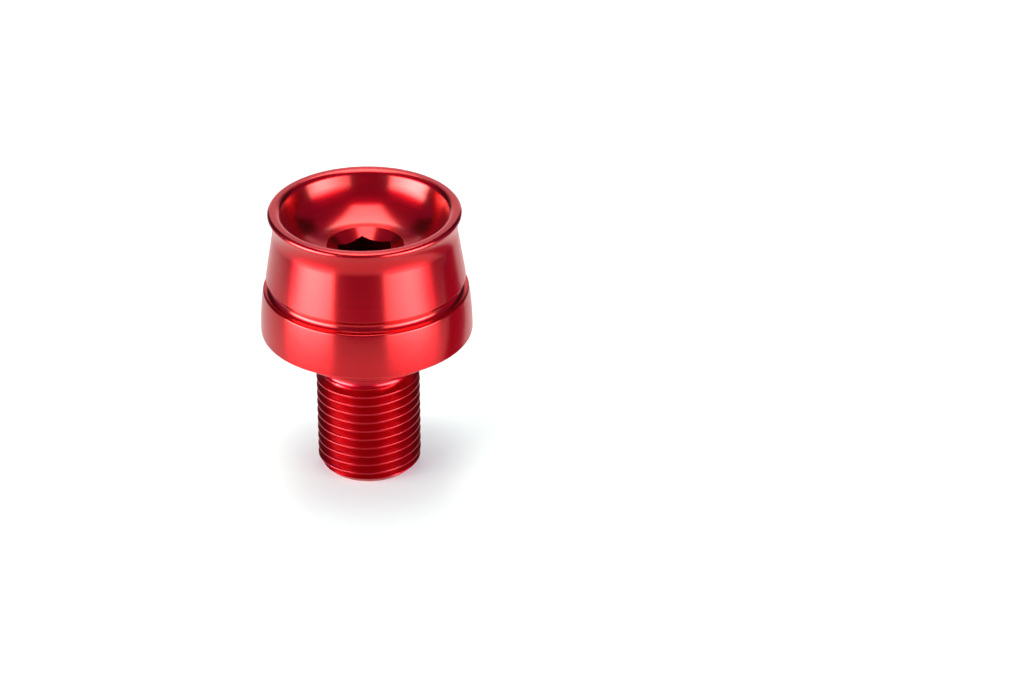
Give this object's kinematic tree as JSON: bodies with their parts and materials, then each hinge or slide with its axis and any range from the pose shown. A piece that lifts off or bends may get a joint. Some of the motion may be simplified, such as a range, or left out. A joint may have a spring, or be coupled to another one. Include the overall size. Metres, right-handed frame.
{
  "type": "bar end weight",
  "caption": "Round bar end weight with a bowed band, a round groove, a flared head, a dished face with a hexagon socket, and a threaded stud that screws into a handlebar's end.",
  "frame": {"origin": "on the axis, at the flat underside of the head, which bears on the end of the bar", "axes": "+Z along the axis of the turning, from the threaded stud towards the dished face"},
  "size_m": [0.0322, 0.0322, 0.0437],
  "materials": {
    "anodised_alloy": "glossy red anodising over a fine turned surface"
  },
  "bodies": {
    "root": {"weight_body": "anodised_alloy"}
  },
  "joints": []
}
